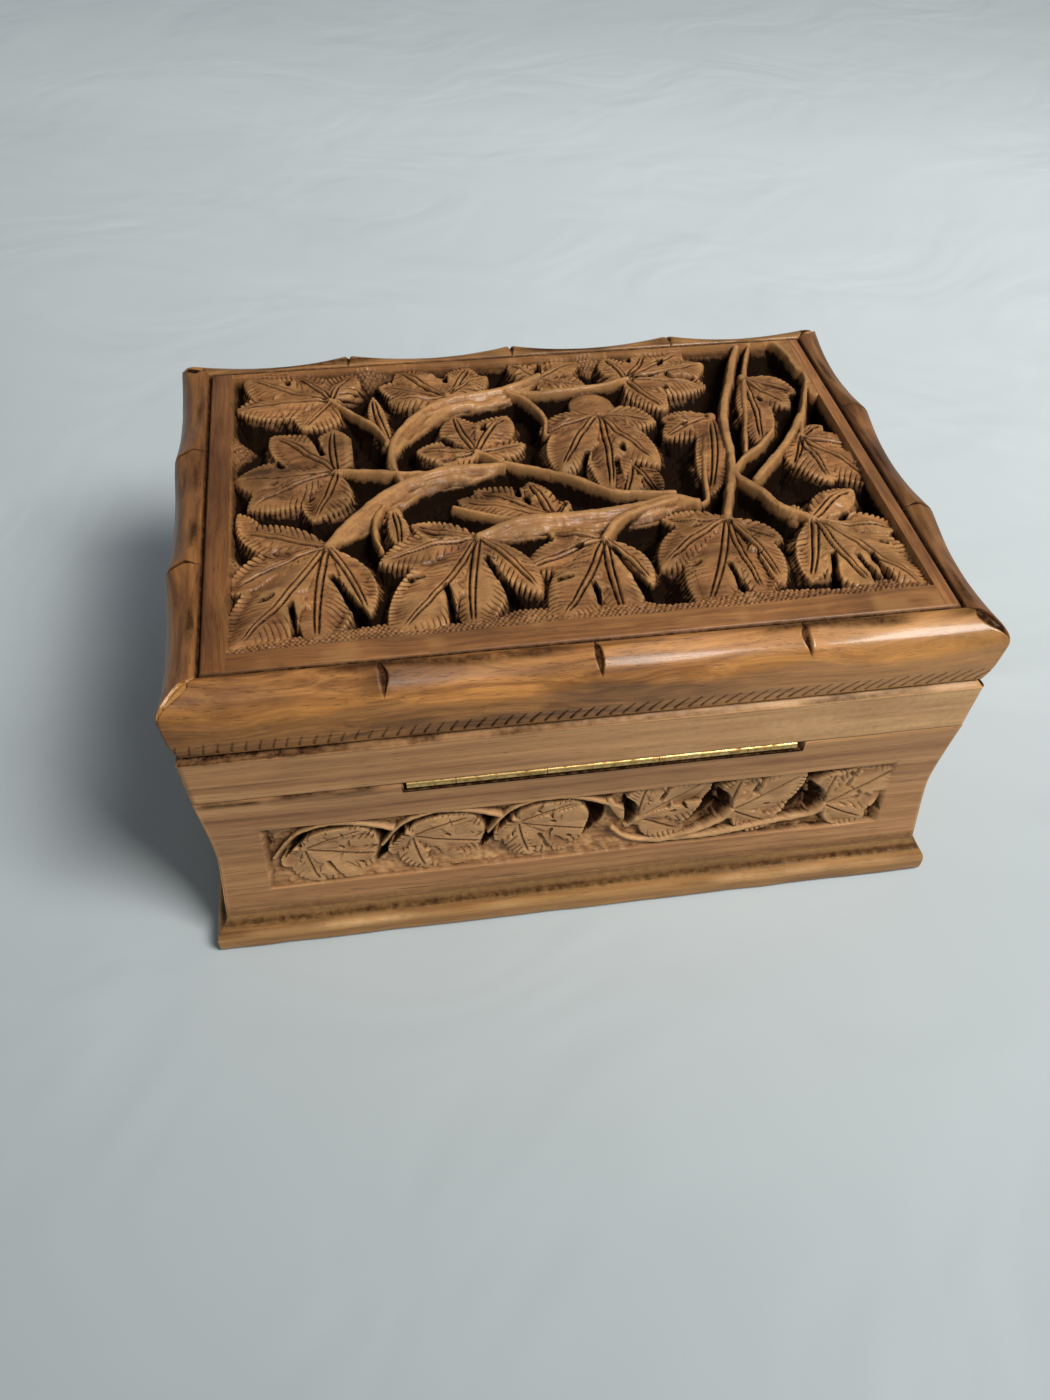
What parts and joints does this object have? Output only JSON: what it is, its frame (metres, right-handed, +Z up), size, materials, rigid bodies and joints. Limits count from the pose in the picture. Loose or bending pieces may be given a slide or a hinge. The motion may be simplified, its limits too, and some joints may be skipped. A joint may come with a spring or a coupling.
{
  "type": "keepsake box",
  "caption": "Carved walnut keepsake box: waisted walls on a moulded base board, and a deep-carved lid with a scalloped rim that opens on a brass strip hinge at the back.",
  "frame": {"origin": "middle of the base board's underside, on the surface that the box stands on", "axes": "+X along the box's length, to the right as seen from its front; +Y from front to back, so the hinge is on the +Y side; +Z up"},
  "size_m": [0.2044, 0.1524, 0.0979],
  "materials": {
    "walnut_plain": "satin varnish over fine straight grain",
    "walnut_rim": "satin varnish, hand smoothed, darker in the tool cuts",
    "walnut_carved": "varnished carving, dark in the recesses",
    "hinge_brass": "plain rolled strip, slightly dulled",
    "screw_brass": "turned, slightly dulled"
  },
  "bodies": {
    "box": {"base_board": "walnut_plain", "front_wall": "walnut_plain", "rear_wall": "walnut_plain", "left_wall": "walnut_plain", "right_wall": "walnut_plain", "hinge_body_leaf": "hinge_brass", "hinge_pin": "hinge_brass", "hinge_body_screws": "screw_brass"},
    "lid": {"lid_front_rail": "walnut_plain", "lid_rear_rail": "walnut_plain", "lid_left_rail": "walnut_plain", "lid_right_rail": "walnut_plain", "lid_front_rim": "walnut_rim", "lid_rear_rim": "walnut_rim", "lid_left_rim": "walnut_rim", "lid_right_rim": "walnut_rim", "lid_panel": "walnut_carved", "lid_left_cleat": "walnut_carved", "lid_right_cleat": "walnut_carved", "hinge_lid_leaf": "hinge_brass", "hinge_lid_screws": "screw_brass"}
  },
  "joints": [
    {"name": "lid_hinge", "type": "hinge", "parent": "box", "child": "lid", "pos_m": [0, 0.07255, 0.0588], "axis": [-1, 0, 0], "range_deg": [0, 100]}
  ]
}
